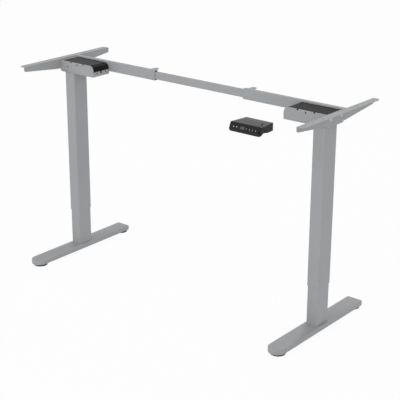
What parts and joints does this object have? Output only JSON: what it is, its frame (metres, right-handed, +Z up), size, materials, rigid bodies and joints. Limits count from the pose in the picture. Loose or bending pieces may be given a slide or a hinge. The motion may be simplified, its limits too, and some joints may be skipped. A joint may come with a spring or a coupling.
{
  "type": "standing desk frame",
  "caption": "Electric height-adjustable desk frame: flat feet, telescopic columns, motor housings, telescopic cross rail, tapered top brackets and a key handset.",
  "frame": {"origin": "on the floor, midway between the two column axes", "axes": "+X along the rail to the handset side, -Y towards the user, +Z up"},
  "size_m": [1.44, 0.642, 0.8825],
  "materials": {
    "steel": "satin light grey powder coat",
    "cover_plastic": "fine textured black",
    "pad_plastic": "matt black",
    "handset_plastic": "satin black",
    "key_plastic": "satin black",
    "display_glass": "clear dark window",
    "board": "green solder mask",
    "nylon": "natural nylon",
    "nylon_dark": "black nylon",
    "zinc": "zinc plated",
    "bolt_steel": "bright zinc plated",
    "black_screw": "black zinc",
    "spindle_steel": "turned steel",
    "motor_can": "zinc plated steel can",
    "die_cast": "die cast",
    "bronze": "machined bronze"
  },
  "bodies": {
    "left_base": {"left_foot": "steel", "left_lower_tube": "steel", "left_spindle_nut": "nylon", "left_slide_pads": "nylon", "left_foot_screws": "zinc"},
    "left_pad_front": {"left_front_pad": "pad_plastic"},
    "left_pad_back": {"left_back_pad": "pad_plastic"},
    "left_upper": {"left_upper_tube": "steel", "left_guide_shoes": "nylon", "left_housing": "steel", "left_cover": "cover_plastic", "left_cover_screws": "black_screw", "left_bracket": "steel", "left_bracket_bolts": "bolt_steel", "left_outer_rail": "steel", "left_rail_sleeve": "nylon_dark", "left_rail_screws": "zinc", "left_motor": "motor_can", "left_gear_casing": "die_cast"},
    "left_screw": {"left_spindle": "spindle_steel", "left_worm_wheel": "bronze"},
    "left_worm": {"left_worm_shaft": "spindle_steel"},
    "right_base": {"right_foot": "steel", "right_lower_tube": "steel", "right_spindle_nut": "nylon", "right_slide_pads": "nylon", "right_foot_screws": "zinc"},
    "right_pad_front": {"right_front_pad": "pad_plastic"},
    "right_pad_back": {"right_back_pad": "pad_plastic"},
    "right_upper": {"right_upper_tube": "steel", "right_guide_shoes": "nylon", "right_housing": "steel", "right_cover": "cover_plastic", "right_cover_screws": "black_screw", "right_bracket": "steel", "right_bracket_bolts": "bolt_steel", "right_outer_rail": "steel", "right_rail_sleeve": "nylon_dark", "right_rail_screws": "zinc", "right_motor": "motor_can", "right_gear_casing": "die_cast", "handset_shell": "handset_plastic", "handset_panel": "handset_plastic", "handset_display": "display_glass", "handset_board": "board"},
    "right_screw": {"right_spindle": "spindle_steel", "right_worm_wheel": "bronze"},
    "right_worm": {"right_worm_shaft": "spindle_steel"},
    "rail_middle": {"centre_rail": "steel", "centre_rail_glides": "nylon_dark"},
    "key_up_body": {"key_up": "key_plastic"},
    "key_down_body": {"key_down": "key_plastic"},
    "key_one_body": {"key_one": "key_plastic"},
    "key_two_body": {"key_two": "key_plastic"},
    "key_three_body": {"key_three": "key_plastic"},
    "key_four_body": {"key_four": "key_plastic"}
  },
  "joints": [
    {"name": "left_lift", "type": "slide", "parent": "left_base", "child": "left_upper", "axis": [0, 0, 1], "range_m": [-0.15, 0.33]},
    {"name": "left_width", "type": "slide", "parent": "left_upper", "child": "rail_middle", "axis": [1, 0, 0], "range_m": [-0.2, 0.07]},
    {"name": "right_width", "type": "slide", "parent": "rail_middle", "child": "right_upper", "axis": [1, 0, 0], "range_m": [-0.2, 0.07]},
    {"name": "right_lift", "type": "slide", "parent": "right_upper", "child": "right_base", "axis": [0, 0, -1], "range_m": [-0.15, 0.33]},
    {"name": "left_spindle_turn", "type": "hinge", "parent": "left_upper", "child": "left_screw", "pos_m": [-0.644, 0, 0.8515], "axis": [0, 0, 1], "continuous": true},
    {"name": "left_worm_turn", "type": "hinge", "parent": "left_upper", "child": "left_worm", "pos_m": [-0.644, 0.0221, 0.8515], "axis": [1, 0, 0], "continuous": true},
    {"name": "left_front_level", "type": "slide", "parent": "left_base", "child": "left_pad_front", "axis": [0, 0, -1], "range_m": [0, 0.01]},
    {"name": "left_back_level", "type": "slide", "parent": "left_base", "child": "left_pad_back", "axis": [0, 0, -1], "range_m": [0, 0.01]},
    {"name": "right_spindle_turn", "type": "hinge", "parent": "right_upper", "child": "right_screw", "pos_m": [0.644, 0, 0.8515], "axis": [0, 0, 1], "continuous": true},
    {"name": "right_worm_turn", "type": "hinge", "parent": "right_upper", "child": "right_worm", "pos_m": [0.644, 0.0221, 0.8515], "axis": [1, 0, 0], "continuous": true},
    {"name": "right_front_level", "type": "slide", "parent": "right_base", "child": "right_pad_front", "axis": [0, 0, -1], "range_m": [0, 0.01]},
    {"name": "right_back_level", "type": "slide", "parent": "right_base", "child": "right_pad_back", "axis": [0, 0, -1], "range_m": [0, 0.01]},
    {"name": "key_up_press", "type": "slide", "parent": "right_upper", "child": "key_up_body", "axis": [0, 0.887, -0.4617], "range_m": [0, 0.0008], "stiffness_N_per_m": 800, "springref_m": -0.0008},
    {"name": "key_down_press", "type": "slide", "parent": "right_upper", "child": "key_down_body", "axis": [0, 0.887, -0.4617], "range_m": [0, 0.0008], "stiffness_N_per_m": 800, "springref_m": -0.0008},
    {"name": "key_one_press", "type": "slide", "parent": "right_upper", "child": "key_one_body", "axis": [0, 0.887, -0.4617], "range_m": [0, 0.0008], "stiffness_N_per_m": 800, "springref_m": -0.0008},
    {"name": "key_two_press", "type": "slide", "parent": "right_upper", "child": "key_two_body", "axis": [0, 0.887, -0.4617], "range_m": [0, 0.0008], "stiffness_N_per_m": 800, "springref_m": -0.0008},
    {"name": "key_three_press", "type": "slide", "parent": "right_upper", "child": "key_three_body", "axis": [0, 0.887, -0.4617], "range_m": [0, 0.0008], "stiffness_N_per_m": 800, "springref_m": -0.0008},
    {"name": "key_four_press", "type": "slide", "parent": "right_upper", "child": "key_four_body", "axis": [0, 0.887, -0.4617], "range_m": [0, 0.0008], "stiffness_N_per_m": 800, "springref_m": -0.0008}
  ],
  "couplings": [
    {"joint": "right_lift", "follows": "left_lift", "ratio": 1},
    {"joint": "left_spindle_turn", "follows": "left_lift", "rad_per_m": 392.7},
    {"joint": "right_spindle_turn", "follows": "left_lift", "rad_per_m": 392.7},
    {"joint": "left_worm_turn", "follows": "left_lift", "rad_per_m": 4712.4},
    {"joint": "right_worm_turn", "follows": "left_lift", "rad_per_m": 4712.4}
  ]
}
